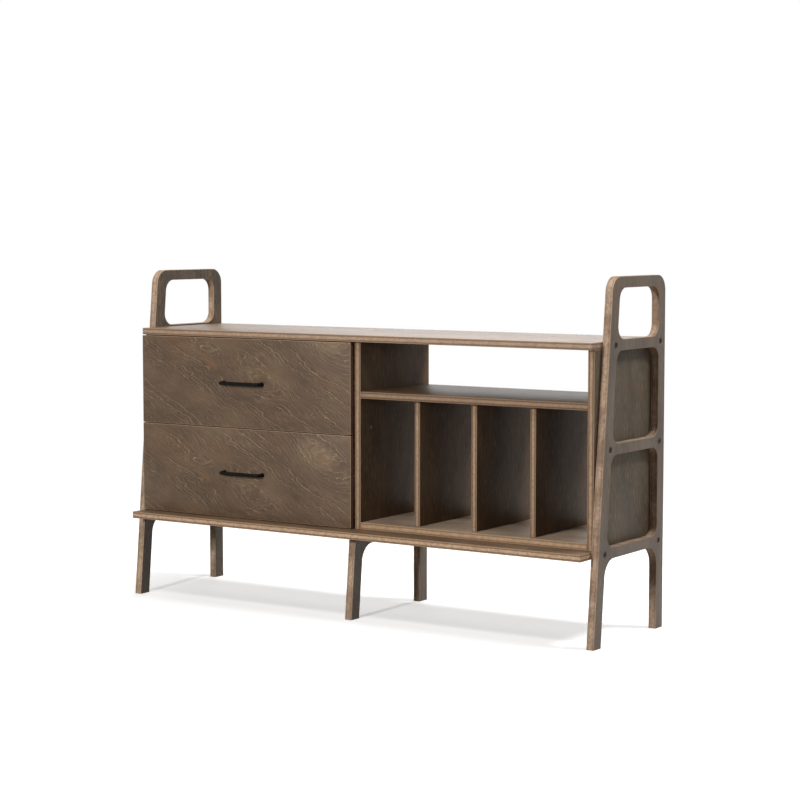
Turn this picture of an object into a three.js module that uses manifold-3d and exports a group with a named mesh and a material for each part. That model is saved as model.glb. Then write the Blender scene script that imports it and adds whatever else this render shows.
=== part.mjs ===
import * as THREE from "three";
import { RoundedBoxGeometry } from "three/addons/geometries/RoundedBoxGeometry.js";
import { mergeVertices } from "three/addons/utils/BufferGeometryUtils.js";
import Module from "manifold-3d";

// Record credenza in stained birch plywood: a carcass of flat boards is bolted between two side frames
// whose front legs lean back, with two drawers on the left and an open shelf and record slots on the right.
// Millimetres. X runs along the length, -Y is the front, +Z is up and Z = 0 is the floor.
// Depths are given as a reach: the distance forward of the side frames' upright back edge.

// Boards of the carcass
const carcassWidth = 1404;
const boardThickness = 18;
const baseUnderside = 217.5;
const baseReach = 402;
const topSurface = 742;
const topReach = 352;
const topBackInset = 4;
const carcassReach = 337;
const carcassBackInset = 8;
const shelfSurface = 595;
const shelfBackInset = 20;
const partitionLeft = 1;
const backThickness = 6;
const dividerCount = 3;
const dividerThickness = 16;
const dividerSetback = 20;
const arris = 1;
const glueLine = 0.2;

// Side frames and centre leg, each cut from one thick panel
const frameThickness = 21;
const frameHeight = 900;
const footDepth = 370;
const crownDepth = 282;
const crownRadius = 40;
const legWidth = 36;
const frontStile = 39;
const backStile = 35;
const railHeight = 27;
const crownBar = 28;
const windowRadius = 30;
const gripRadius = 32;
const archRadius = 48;
const filletShare = 0.48;
const centreLegLeft = -9;
const centreLegBackInset = 5;
const centreRailHeight = 25;

// Frame bolts and leg screws
const boltShank = 7;
const boltHead = 15;
const boltHeadHeight = 3;
const boltRecess = 0.5;
const boltLength = 52;
const boltPanelGrip = 12;
const boltTip = 4;
const boltFrontInset = 32;
const boltBackInset = 25;
const socketFlats = 5;
const socketDepth = 2;
const boreClearance = 0.3;
const facets = 12;
const legScrewShank = 6;
const legScrewHead = 11;
const legScrewLength = 60;
const legScrewHeadHeight = 3;
const capDiameter = 10;
const capThickness = 1.2;
const capReach = 289;
const capHeight = 499;

// Drawers
const frontThickness = 15;
const frontGap = 0.5;
const frontReveal = 2.2;
const splitRise = 0.75;
const sideReveal = 3;
const boxWall = 12;
const boxHeight = 180;
const boxRise = 22;
const boxDepth = 305;
const bottomThickness = 6;
const bottomRise = 10;
const grooveDepth = 6;
const grooveClearance = 0.3;

// Three-part ball-bearing slides
const slideHeight = 45;
const slideThickness = 12.7;
const slideLength = 300;
const slideSetback = 3;
const slideSheet = 1.2;
const slideClearance = 0.4;
const slideSeat = 0.15;
const middleOffset = 3.2;
const slideFlangeGap = 1.6;

// Handles: a round bar bent back to the drawer front at both ends
const handleCentres = 128;
const handleBar = 10;
const handleProjection = 28;
const handleBend = 11;
const footDiameter = 12;
const footHeight = 4;
const handleScrew = 4;
const handleScrewGrip = 9;
const handleScrewHead = 8;
const handleScrewHeadHeight = 2.5;

// Places worked out from the sizes above
const backPlane = baseReach / 2;
const innerFace = carcassWidth / 2;
const baseTop = baseUnderside + boardThickness;
const topUnderside = topSurface - boardThickness;
const partitionRight = partitionLeft + boardThickness;
const bayRight = innerFace - boardThickness;
const bayLeft = -bayRight;
const lowerRailCentre = baseUnderside + boardThickness / 2;
const upperRailCentre = topSurface - boardThickness / 2;
const middleRailCentre = (lowerRailCentre + upperRailCentre) / 2;
const frontSplit = middleRailCentre + splitRise;
const frontBack = carcassReach + frontGap;
const frontFace = frontBack + frontThickness;

const wasm = await Module();
wasm.setup();

const UP = new THREE.Vector3(0, 1, 0);
const FORWARD = new THREE.Vector3(0, -1, 0);
const credenza = new THREE.Group();

const stainedFace = new THREE.MeshStandardMaterial({ color: 0x695a48, roughness: 0.5, metalness: 0 });
const stainedEdge = new THREE.MeshStandardMaterial({ color: 0x8a6f56, roughness: 0.6, metalness: 0 });
const palePly = new THREE.MeshStandardMaterial({ color: 0xc9b08a, roughness: 0.6, metalness: 0 });
const blackMetal = new THREE.MeshStandardMaterial({ color: 0x16161a, roughness: 0.4, metalness: 0.6 });
const zincSteel = new THREE.MeshStandardMaterial({ color: 0xb4b8bc, roughness: 0.35, metalness: 1 });
const capPlastic = new THREE.MeshStandardMaterial({ color: 0xb8b4ac, roughness: 0.5, metalness: 0 });

// Depth coordinate of a point that lies a given reach forward of the frames' back edge.
function atReach(reach) {
  return backPlane - reach;
}

// Depth coordinate of the frames' leaning front edge at a height above the floor.
function frontEdge(height) {
  return atReach(footDepth - ((footDepth - crownDepth) * height) / frameHeight);
}

function solidOf(geometry) {
  const bare = geometry.clone();
  bare.deleteAttribute("normal");
  bare.deleteAttribute("uv");
  const merged = mergeVertices(bare, 1e-4);
  const vertProperties = merged.attributes.position.array;
  const triVerts = new Uint32Array(merged.index.array);
  return new wasm.Manifold(new wasm.Mesh({ numProp: 3, vertProperties, triVerts }));
}

function geometryOf(solid) {
  const mesh = solid.getMesh();
  const geometry = new THREE.BufferGeometry();
  geometry.setAttribute("position", new THREE.BufferAttribute(mesh.vertProperties, 3));
  geometry.setIndex(new THREE.BufferAttribute(mesh.triVerts, 1));
  geometry.computeVertexNormals();
  return geometry;
}

function cut(geometry, cutters) {
  return geometryOf(cutters.reduce((rest, cutter) => rest.subtract(solidOf(cutter)), solidOf(geometry)));
}

function join(geometry, additions) {
  return geometryOf(additions.reduce((whole, piece) => whole.add(solidOf(piece)), solidOf(geometry)));
}

function addPiece(name, geometry, material) {
  const mesh = new THREE.Mesh(geometry, material);
  mesh.name = name;
  credenza.add(mesh);
}

// Moves a box made about the origin to the middle of two X values, two reaches and two heights.
function settle(geometry, left, right, backReach, frontReach, low, high) {
  return geometry.translate((left + right) / 2, atReach((backReach + frontReach) / 2), (low + high) / 2);
}

// A board between two X values, two reaches and two heights, with eased arrises.
function board(left, right, backReach, frontReach, low, high) {
  const geometry = new RoundedBoxGeometry(right - left, frontReach - backReach, high - low, 1, arris);
  return settle(geometry, left, right, backReach, frontReach, low, high);
}

// A sharp-edged block, for cutting grooves.
function block(left, right, backReach, frontReach, low, high) {
  const geometry = new THREE.BoxGeometry(right - left, frontReach - backReach, high - low);
  return settle(geometry, left, right, backReach, frontReach, low, high);
}

// Stands a geometry that was made along +Y at a point, pointing along a direction.
function aim(geometry, point, direction) {
  const turn = new THREE.Quaternion().setFromUnitVectors(UP, direction);
  return geometry.applyQuaternion(turn).translate(point.x, point.y, point.z);
}

// A round bar or bore that starts at a point and runs along a direction.
function rod(diameter, length, point, direction) {
  const bar = new THREE.CylinderGeometry(diameter / 2, diameter / 2, length, facets);
  return aim(bar.translate(0, length / 2, 0), point, direction);
}

// A closed outline whose corners are given as across, up and radius, in anticlockwise order.
// A radius that is too large for its two edges takes the share of the shorter edge that is left to it.
function roundedOutline(corners, outline) {
  corners.forEach(([across, up, wanted], index) => {
    const corner = new THREE.Vector2(across, up);
    const towards = ([x, y]) => new THREE.Vector2(x, y).sub(corner);
    const before = towards(corners.at(index - 1));
    const after = towards(corners[(index + 1) % corners.length]);
    const room = filletShare * Math.min(before.length(), after.length());
    before.normalize();
    after.normalize();
    const half = Math.acos(before.dot(after)) / 2;
    const radius = Math.min(wanted, room * Math.tan(half));
    const start = before.clone().multiplyScalar(radius / Math.tan(half)).add(corner);
    const end = after.clone().multiplyScalar(radius / Math.tan(half)).add(corner);
    const centre = before.clone().add(after).setLength(radius / Math.sin(half)).add(corner);
    const place = index === 0 ? "moveTo" : "lineTo";
    outline[place](start.x, start.y);
    if (radius > 0) {
      const from = start.sub(centre).angle();
      const to = end.sub(centre).angle();
      outline.absarc(centre.x, centre.y, radius, from, to, before.cross(after) > 0);
    }
  });
  outline.closePath();
  return outline;
}

// Extrudes a side view, drawn as depth and height, along X, with eased arrises on both faces.
function extrudeAlongX(shape, left, thickness) {
  const geometry = new THREE.ExtrudeGeometry(shape, {
    depth: thickness - 2 * arris,
    bevelThickness: arris,
    bevelSize: arris,
    bevelOffset: -arris,
    bevelSegments: 1,
    curveSegments: 7,
  });
  const sideways = new THREE.Matrix4().makeBasis(
    new THREE.Vector3(0, 1, 0),
    new THREE.Vector3(0, 0, 1),
    new THREE.Vector3(1, 0, 0),
  );
  return geometry.translate(0, 0, arris).applyMatrix4(sideways).translate(left, 0, 0);
}

// Extrudes a front view, drawn as width and height, backwards from the given reach.
function extrudeBackwards(shape, frontReach, depth) {
  const geometry = new THREE.ExtrudeGeometry(shape, { depth, bevelEnabled: false });
  return geometry.rotateX(Math.PI / 2).translate(0, atReach(frontReach) + depth, 0);
}

// A furniture bolt with a flat head and a hexagon socket: its tip at the origin, its head along +Y.
function bolt(shank, head, headHeight, length) {
  const edge = headHeight / 4;
  const profile = [
    [0, 0],
    [shank / 3, 0],
    [shank / 2, boltTip],
    [shank / 2, length - headHeight],
    [head / 2, length - headHeight],
    [head / 2, length - edge],
    [head / 2 - edge, length],
    [0, length],
  ].map(([radius, along]) => new THREE.Vector2(radius, along));
  const body = new THREE.LatheGeometry(profile, facets);
  const socketRadius = socketFlats / Math.sqrt(3);
  const socket = new THREE.CylinderGeometry(socketRadius, socketRadius, 2 * socketDepth, 6);
  return cut(body, [socket.translate(0, length, 0)]);
}

// The three bolt rows of a side frame, each with a front and a back bolt.
function boltRows() {
  const rows = [
    { row: "upper", height: upperRailCentre, length: boltLength },
    { row: "middle", height: middleRailCentre, length: frameThickness - boltRecess + boltPanelGrip },
    { row: "lower", height: lowerRailCentre, length: boltLength },
  ];
  return rows.flatMap(({ row, height, length }) => [
    { name: `${row}_front`, height, length, depth: frontEdge(height) + boltFrontInset },
    { name: `${row}_back`, height, length, depth: atReach(boltBackInset) },
  ]);
}

// Bores for the bolts of one side: sign is -1 on the left and 1 on the right.
function boltBores(sign, diameter, length, rows) {
  const inward = new THREE.Vector3(-sign, 0, 0);
  return rows.map((row) => {
    const mouth = new THREE.Vector3(sign * (innerFace + frameThickness + arris), row.depth, row.height);
    return rod(diameter, length + arris, mouth, inward);
  });
}

// One side frame: leaning front leg, upright back leg, three windows and an arch between the feet.
function sideFrame(sign) {
  const archTop = lowerRailCentre - railHeight / 2;
  const outline = roundedOutline(
    [
      [frontEdge(0), 0, 0],
      [frontEdge(0) + legWidth, 0, 0],
      [frontEdge(archTop) + legWidth, archTop, archRadius],
      [atReach(legWidth), archTop, archRadius],
      [atReach(legWidth), 0, 0],
      [backPlane, 0, 0],
      [backPlane, frameHeight, crownRadius],
      [frontEdge(frameHeight), frameHeight, crownRadius],
    ],
    new THREE.Shape(),
  );
  const windows = [
    [lowerRailCentre + railHeight / 2, middleRailCentre - railHeight / 2, windowRadius],
    [middleRailCentre + railHeight / 2, upperRailCentre - railHeight / 2, windowRadius],
    [upperRailCentre + railHeight / 2, frameHeight - crownBar, gripRadius],
  ];
  windows.forEach(([low, high, radius]) => {
    const corners = [
      [frontEdge(low) + frontStile, low, radius],
      [atReach(backStile), low, radius],
      [atReach(backStile), high, radius],
      [frontEdge(high) + frontStile, high, radius],
    ];
    outline.holes.push(roundedOutline(corners, new THREE.Path()));
  });
  const left = sign > 0 ? innerFace : -innerFace - frameThickness;
  const counterbore = boltRecess + boltHeadHeight + boreClearance;
  return cut(extrudeAlongX(outline, left, frameThickness), [
    ...boltBores(sign, boltShank + 2 * boreClearance, frameThickness + 2 * arris, boltRows()),
    ...boltBores(sign, boltHead + 2 * boreClearance, counterbore, boltRows()),
  ]);
}

// The centre leg stands under the base board on the same leaning line as the side frames.
function centreLeg() {
  const top = baseUnderside - glueLine;
  const archTop = baseUnderside - centreRailHeight;
  const back = atReach(centreLegBackInset);
  const outline = roundedOutline(
    [
      [frontEdge(0), 0, 0],
      [frontEdge(0) + legWidth, 0, 0],
      [frontEdge(archTop) + legWidth, archTop, archRadius],
      [back - legWidth, archTop, archRadius],
      [back - legWidth, 0, 0],
      [back, 0, 0],
      [back, top, 0],
      [frontEdge(top), top, 0],
    ],
    new THREE.Shape(),
  );
  return cut(extrudeAlongX(outline, centreLegLeft, frameThickness), legScrewBores());
}

// Tops of the two leg screws, just under the upper face of the base board.
function legScrewPoints() {
  const across = centreLegLeft + frameThickness / 2;
  const depths = [frontEdge(baseUnderside) + legWidth / 2, atReach(centreLegBackInset + legWidth / 2)];
  return depths.map((depth) => new THREE.Vector3(across, depth, baseTop - boltRecess));
}

function legScrewBores() {
  const down = new THREE.Vector3(0, 0, -1);
  return legScrewPoints().flatMap((point) => {
    const mouth = point.clone().setZ(baseTop + arris);
    const head = boltRecess + legScrewHeadHeight + boreClearance + arris;
    return [
      rod(legScrewShank + 2 * boreClearance, legScrewLength + 2 * arris, mouth, down),
      rod(legScrewHead + 2 * boreClearance, head, mouth, down),
    ];
  });
}

function addFrames() {
  const sides = [
    ["left", -1],
    ["right", 1],
  ];
  sides.forEach(([side, sign]) => {
    addPiece(`${side}_side_frame`, sideFrame(sign), stainedFace);
    boltRows().forEach(({ name, height, length, depth }) => {
      const head = sign * (innerFace + frameThickness - boltRecess);
      const tip = new THREE.Vector3(head - sign * length, depth, height);
      const body = bolt(boltShank, boltHead, boltHeadHeight, length);
      addPiece(`frame_bolt_${side}_${name}`, aim(body, tip, new THREE.Vector3(sign, 0, 0)), blackMetal);
    });
  });
  addPiece("centre_leg_frame", centreLeg(), stainedFace);
  legScrewPoints().forEach((point, index) => {
    const body = bolt(legScrewShank, legScrewHead, legScrewHeadHeight, legScrewLength);
    const tip = point.clone().setZ(point.z - legScrewLength);
    addPiece(`centre_leg_screw_${index + 1}`, aim(body, tip, new THREE.Vector3(0, 0, 1)), zincSteel);
  });
}

function addCarcass() {
  const boreDiameter = boltShank + 2 * boreClearance;
  const rows = boltRows();
  const endRows = rows.filter(({ length }) => length === boltLength);
  const endBores = (height) =>
    [-1, 1].flatMap((sign) => {
      const reach = boltLength + 2 * arris;
      return boltBores(sign, boreDiameter, reach, endRows.filter((row) => row.height === height));
    });
  const ends = [-innerFace + glueLine, innerFace - glueLine];
  const top = board(...ends, topBackInset, topReach, topUnderside, topSurface);
  addPiece("top_board", cut(top, endBores(upperRailCentre)), stainedFace);
  const base = board(...ends, carcassBackInset, baseReach, baseUnderside, baseTop);
  addPiece("base_board", cut(base, [...endBores(lowerRailCentre), ...legScrewBores()]), stainedFace);

  const low = baseTop + glueLine;
  const high = topUnderside - glueLine;
  const depths = [carcassBackInset, carcassReach];
  const sidePanels = [
    ["left", -1, ends[0], bayLeft],
    ["right", 1, bayRight, ends[1]],
  ];
  sidePanels.forEach(([side, sign, left, right]) => {
    const panelRows = rows.filter(({ length }) => length !== boltLength);
    const bores = boltBores(sign, boreDiameter, frameThickness + boltPanelGrip + 2 * arris, panelRows);
    addPiece(`${side}_side_panel`, cut(board(left, right, ...depths, low, high), bores), stainedFace);
  });
  addPiece("partition", board(partitionLeft, partitionRight, ...depths, low, high), stainedFace);

  const drawerBay = [bayLeft + glueLine, partitionLeft - glueLine];
  const backReach = carcassBackInset + backThickness;
  addPiece("drawer_bay_back", board(...drawerBay, carcassBackInset, backReach, low, high), palePly);

  const recordBay = [partitionRight + glueLine, bayRight - glueLine];
  const floorTop = low + boardThickness;
  addPiece("record_bay_floor", board(...recordBay, ...depths, low, floorTop), stainedEdge);
  const shelfDepths = [shelfBackInset, carcassReach];
  const shelfUnderside = shelfSurface - boardThickness;
  addPiece("open_shelf", board(...recordBay, ...shelfDepths, shelfUnderside, shelfSurface), stainedFace);

  const slot = (bayRight - partitionRight - dividerCount * dividerThickness) / (dividerCount + 1);
  for (let index = 0; index < dividerCount; index += 1) {
    const left = partitionRight + slot + index * (slot + dividerThickness);
    const span = [left, left + dividerThickness, shelfBackInset, carcassReach - dividerSetback];
    const divider = board(...span, floorTop + glueLine, shelfUnderside - glueLine);
    addPiece(`record_divider_${index + 1}`, divider, stainedEdge);
  }
  const capSeat = new THREE.Vector3(partitionRight + glueLine, atReach(capReach), capHeight);
  const cap = rod(capDiameter, capThickness, capSeat, new THREE.Vector3(1, 0, 0));
  addPiece("partition_screw_cap", cap, capPlastic);
}

// A section drawn as distance from a wall and height above a level, set against that wall.
function sectionShape(points, wall, inward, level) {
  return new THREE.Shape(points.map(([across, up]) => new THREE.Vector2(wall + inward * across, level + up)));
}

// A slide member is a channel: a web and two flanges, drawn from the cabinet wall towards the drawer.
function channel(webAt, flangeTip, halfHeight) {
  const outward = Math.sign(flangeTip - webAt);
  const inner = halfHeight - slideSheet;
  return [
    [webAt, -halfHeight],
    [flangeTip, -halfHeight],
    [flangeTip, -inner],
    [webAt + outward * slideSheet, -inner],
    [webAt + outward * slideSheet, inner],
    [flangeTip, inner],
    [flangeTip, halfHeight],
    [webAt, halfHeight],
  ];
}

// The nested channels of one slide: the drawer's sits inside the middle one, and that inside the cabinet's.
function slideMembers() {
  const step = slideSheet + slideClearance;
  const outer = slideHeight / 2;
  return {
    outer: channel(0, slideThickness - slideFlangeGap, outer),
    middle: channel(middleOffset, slideThickness - slideFlangeGap / 2, outer - step),
    inner: channel(slideThickness, middleOffset + slideSheet + slideClearance, outer - 2 * step),
  };
}

function addSlides(drawer, centreHeight) {
  const walls = [
    ["left", bayLeft + slideSeat, 1],
    ["right", partitionLeft - slideSeat, -1],
  ];
  walls.forEach(([side, wall, inward]) => {
    Object.entries(slideMembers()).forEach(([member, points]) => {
      const section = sectionShape(points, wall, inward, centreHeight);
      const rail = extrudeBackwards(section, carcassReach - slideSetback, slideLength);
      addPiece(`${drawer}_slide_${side}_${member}`, rail, zincSteel);
    });
  });
}

// The bent bar of a handle, lying in a level plane: out from the front, along and back.
function handleBow(centre, height) {
  const half = handleCentres / 2;
  const root = atReach(frontFace + glueLine);
  const crest = atReach(frontFace + handleProjection - handleBar / 2);
  const bendStart = crest + handleBend;
  const at = (across, depth) => new THREE.Vector3(centre + across, depth, height);
  const bend = (...points) => new THREE.QuadraticBezierCurve3(...points);
  const path = new THREE.CurvePath();
  path.add(new THREE.LineCurve3(at(-half, root), at(-half, bendStart)));
  path.add(bend(at(-half, bendStart), at(-half, crest), at(handleBend - half, crest)));
  path.add(new THREE.LineCurve3(at(handleBend - half, crest), at(half - handleBend, crest)));
  path.add(bend(at(half - handleBend, crest), at(half, crest), at(half, bendStart)));
  path.add(new THREE.LineCurve3(at(half, bendStart), at(half, root)));
  const section = new THREE.Shape().absarc(0, 0, handleBar / 2, 0, 2 * Math.PI);
  const bow = new THREE.ExtrudeGeometry(section, { steps: 36, curveSegments: 5, extrudePath: path });
  const ends = [-half, half];
  const feet = ends.map((across) => rod(footDiameter, footHeight, at(across, root), FORWARD));
  const bores = ends.map((across) => {
    const mouth = at(across, root + arris);
    return rod(handleScrew + 2 * boreClearance, handleScrewGrip + 2 * arris, mouth, FORWARD);
  });
  return cut(join(bow, feet), bores);
}

// Sizes of one drawer whose front stands between two heights.
function drawerPlan(low, high) {
  const slack = slideThickness + 2 * slideSeat;
  const boxFront = frontBack - glueLine;
  const boxLow = low + boxRise;
  const bottomLow = boxLow + bottomRise;
  const left = -innerFace;
  const right = partitionLeft - sideReveal;
  return {
    low,
    high,
    left,
    right,
    centre: (left + right) / 2,
    middle: (low + high) / 2,
    boxLeft: bayLeft + slack,
    boxRight: partitionLeft - slack,
    boxLow,
    boxHigh: boxLow + boxHeight,
    boxFront,
    boxBack: boxFront - boxDepth,
    subFrontBack: boxFront - boxWall,
    bottomLow,
    bottomHigh: bottomLow + bottomThickness,
  };
}

// The two handle screws go in from inside the box, through both fronts and into the handle's feet.
function handleScrews(plan) {
  const seat = plan.subFrontBack - handleScrewHeadHeight - glueLine;
  const length = frontFace + glueLine + handleScrewGrip - seat;
  const heads = [-1, 1].map((end) => {
    return new THREE.Vector3(plan.centre + (end * handleCentres) / 2, atReach(seat), plan.middle);
  });
  const diameter = handleScrew + 2 * boreClearance;
  return { heads, length, bores: heads.map((head) => rod(diameter, length + arris, head, FORWARD)) };
}

function addDrawerFront(drawer, plan) {
  const { heads, length, bores } = handleScrews(plan);
  const front = board(plan.left, plan.right, frontBack, frontFace, plan.low, plan.high);
  addPiece(`${drawer}_drawer_front`, cut(front, bores), stainedFace);
  addPiece(`${drawer}_drawer_handle`, handleBow(plan.centre, plan.middle), blackMetal);
  heads.forEach((head, index) => {
    const body = bolt(handleScrew, handleScrewHead, handleScrewHeadHeight, length);
    const tip = head.clone().addScaledVector(FORWARD, length);
    const screw = aim(body, tip, FORWARD.clone().negate());
    addPiece(`${drawer}_handle_screw_${index + 1}`, screw, zincSteel);
  });
}

// A five-board box: the bottom runs in grooves in both sides and the sub-front, and under the back.
function addDrawerBox(drawer, plan) {
  const grooveLow = plan.bottomLow - grooveClearance;
  const grooveHigh = plan.bottomHigh + grooveClearance;
  const sides = [
    ["left", plan.boxLeft, 1],
    ["right", plan.boxRight, -1],
  ];
  sides.forEach(([side, face, inward]) => {
    const corners = [
      [0, 0],
      [boxWall, 0],
      [boxWall, bottomRise - grooveClearance],
      [boxWall - grooveDepth, bottomRise - grooveClearance],
      [boxWall - grooveDepth, bottomRise + bottomThickness + grooveClearance],
      [boxWall, bottomRise + bottomThickness + grooveClearance],
      [boxWall, boxHeight],
      [0, boxHeight],
    ];
    const section = sectionShape(corners, face, inward, plan.boxLow);
    addPiece(`${drawer}_drawer_box_${side}`, extrudeBackwards(section, plan.boxFront, boxDepth), palePly);
  });

  const inside = [plan.boxLeft + boxWall, plan.boxRight - boxWall];
  const span = [inside[0] + glueLine, inside[1] - glueLine];
  const subFront = board(...span, plan.subFrontBack, plan.boxFront, plan.boxLow, plan.boxHigh);
  const grooveFront = plan.subFrontBack + grooveDepth;
  const grooveBack = plan.subFrontBack - grooveDepth;
  const groove = block(plan.boxLeft, plan.boxRight, grooveBack, grooveFront, grooveLow, grooveHigh);
  const cutters = [groove, ...handleScrews(plan).bores];
  addPiece(`${drawer}_drawer_subfront`, cut(subFront, cutters), palePly);

  const back = board(...span, plan.boxBack, plan.boxBack + boxWall, grooveHigh, plan.boxHigh);
  addPiece(`${drawer}_drawer_box_back`, back, palePly);
  const tongue = grooveDepth - grooveClearance;
  const bottomSpan = [inside[0] - tongue, inside[1] + tongue];
  const bottomDepths = [plan.boxBack, plan.subFrontBack + tongue];
  const bottom = board(...bottomSpan, ...bottomDepths, plan.bottomLow, plan.bottomHigh);
  addPiece(`${drawer}_drawer_bottom`, bottom, palePly);
}

function addDrawer(drawer, low, high) {
  const plan = drawerPlan(low, high);
  addDrawerFront(drawer, plan);
  addDrawerBox(drawer, plan);
  addSlides(drawer, (plan.boxLow + plan.boxHigh) / 2);
}

addFrames();
addCarcass();
addDrawer("upper", frontSplit + frontReveal / 2, topUnderside - frontReveal);
addDrawer("lower", baseTop + frontReveal, frontSplit - frontReveal / 2);

export default credenza;
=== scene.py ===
"""Record credenza in walnut-stained birch plywood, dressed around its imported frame."""

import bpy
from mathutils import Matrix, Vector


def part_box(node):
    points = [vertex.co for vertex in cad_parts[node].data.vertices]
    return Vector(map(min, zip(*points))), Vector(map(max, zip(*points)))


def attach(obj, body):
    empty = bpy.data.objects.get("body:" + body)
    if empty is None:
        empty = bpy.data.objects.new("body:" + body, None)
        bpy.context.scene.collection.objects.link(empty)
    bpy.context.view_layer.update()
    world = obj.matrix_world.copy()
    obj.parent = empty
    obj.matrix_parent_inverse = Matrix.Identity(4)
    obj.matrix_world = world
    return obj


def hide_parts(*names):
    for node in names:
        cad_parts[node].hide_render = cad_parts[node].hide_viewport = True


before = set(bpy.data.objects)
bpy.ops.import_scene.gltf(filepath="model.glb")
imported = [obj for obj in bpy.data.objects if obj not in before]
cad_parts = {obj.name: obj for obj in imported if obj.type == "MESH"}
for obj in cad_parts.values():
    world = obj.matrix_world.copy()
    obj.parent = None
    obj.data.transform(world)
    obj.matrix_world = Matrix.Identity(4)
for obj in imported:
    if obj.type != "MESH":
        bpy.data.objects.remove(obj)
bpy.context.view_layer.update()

import logging
import math
from dataclasses import dataclass, replace
from enum import Enum
from typing import Any, Optional, Sequence, Union

import bmesh
import bpy
from mathutils import Matrix, Vector

log = logging.getLogger("credenza")
MM = 0.001
SMOOTH_ANGLE = math.radians(12)
# An outer edge that turns by more than this, in radians, gets an eased arris.
SHARP_ANGLE = 0.5
ARRIS_STEPS = 3
ARC_STEP = math.radians(5)
LEAST_ARC_STEPS = 6
WELD = 1e-6
# A face that looks this squarely through the board is veneer, and one that looks less than this is edge.
VENEER_FACING = 0.999
EDGE_FACING = 0.02
SURFACE_SLACK = 0.1
# Places on a noise's scale: where shades change, where spots show, and between which the gloss varies.
FACE_STOPS = (0.32, 0.5, 0.68)
CLOUD_STOPS = (0.35, 0.7)
SPOT_SPAN = (0.42, 0.62)
GLOSS_SPAN = (0.3, 0.7)
# Where each ply starts, as a share of the way from the middle of the board to its face.
PLY_STOPS = (0.0, 0.16, 0.43, 0.71)
# An oval that pushes the straight rings aside by more than this share has bolder lines.
FIRM_HOLD = 0.5
UP = Vector((0, 0, 1))

Tree = bpy.types.NodeTree
Socket = bpy.types.NodeSocket
Value = Union[bpy.types.NodeSocket, float]
Mesh = bpy.types.Mesh
Outline = list[tuple[float, float]]
Corner = tuple[float, float, float]
Ring = tuple[float, float, bool]


class Axis(Enum):
    """A direction of the shared frame: along the length, front to back, or up."""

    X = 0
    Y = 1
    Z = 2


class Hand(Enum):
    """A side of the credenza, as seen from the front."""

    LEFT = "left"
    RIGHT = "right"


class Level(Enum):
    """Which of the two drawers."""

    UPPER = "upper"
    LOWER = "lower"


class Slot(Enum):
    """The record's material slots."""

    STAINED_PLY = "stained_birch_ply"
    CLEAR_PLY = "clear_birch_ply"
    BLACK_STEEL = "black_steel"
    ZINC_STEEL = "zinc_steel"
    CAP_PLASTIC = "cap_plastic"


class Surface(Enum):
    """What a face of a board shows: veneer, the eased arris or the stacked plies."""

    VENEER = 0.0
    ARRIS = 0.5
    EDGE = 1.0


def linear(colour: str) -> tuple[float, float, float, float]:
    """Turns an sRGB hex colour into a linear one.

    Args:
        colour: Six hex digits after a hash sign.

    Returns:
        Red, green, blue and an alpha of one.
    """
    shares = [int(colour[start : start + 2], 16) / 255 for start in (1, 3, 5)]
    red, green, blue = [s / 12.92 if s <= 0.04045 else ((s + 0.055) / 1.055) ** 2.4 for s in shares]
    return red, green, blue, 1.0


def add_node(
    tree: Tree,
    kind: str,
    inputs: Optional[dict[Union[int, str], Any]] = None,
    stops: Sequence[tuple[float, str]] = (),
    **settings: Any,
) -> bpy.types.Node:
    """Adds a node with its settings and links.

    Args:
        tree: The node tree.
        kind: Blender's name for the node.
        inputs: A value, or an output to link, for each named or numbered input.
        stops: Places and hex colours of a colour ramp, from low to high.
        settings: Attributes of the node.

    Returns:
        The new node.
    """
    made = tree.nodes.new(kind)
    for key, value in settings.items():
        setattr(made, key, value)
    for index, (place, colour) in enumerate(stops):
        ramp = made.color_ramp.elements
        inner = 0 < index < len(stops) - 1
        stop = ramp.new(place) if inner else ramp[0 if index == 0 else -1]
        stop.position = place
        stop.color = linear(colour)
    for key, value in (inputs or {}).items():
        socket = made.inputs[key]
        if isinstance(value, Socket):
            tree.links.new(value, socket)
        else:
            socket.default_value = value
    return made


@dataclass(frozen=True)
class Finish:
    """A surface finish: its name and the record's slot that it belongs to."""

    name: str
    slot: Slot

    def dress(self, tree: Tree) -> dict[str, Any]:
        """Adds the finish's own nodes; each kind of finish has its own."""
        raise NotImplementedError

    def material(self) -> bpy.types.Material:
        """Makes the material once and gives it to every later piece.

        Returns:
            The material of this finish.
        """
        known = bpy.data.materials.get(self.name)
        if known:
            return known
        made = bpy.data.materials.new(self.name)
        made.use_nodes = True
        tree = made.node_tree
        tree.nodes.clear()
        shader = add_node(tree, "ShaderNodeBsdfPrincipled", self.dress(tree))
        add_node(tree, "ShaderNodeOutputMaterial", {"Surface": shader.outputs[0]})
        return made


@dataclass(frozen=True)
class Swirl:
    """A place where the peeled veneer skims the top of a growth ring, so that the rings close to an oval.

    Hold is how far the oval pushes the straight rings aside. The wood there can be warmer (blush) or
    paler (glow) than around it.
    """

    along_mm: float
    across_mm: float
    half_length_mm: float
    half_width_mm: float
    rings: float
    turn_deg: float = -14.0
    hold: float = 0.45
    blush: float = 0.0
    glow: float = 0.0

    @property
    def lines(self) -> float:
        """How much a firm oval strengthens its own lines."""
        return max(0.0, self.hold - FIRM_HOLD)


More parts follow.
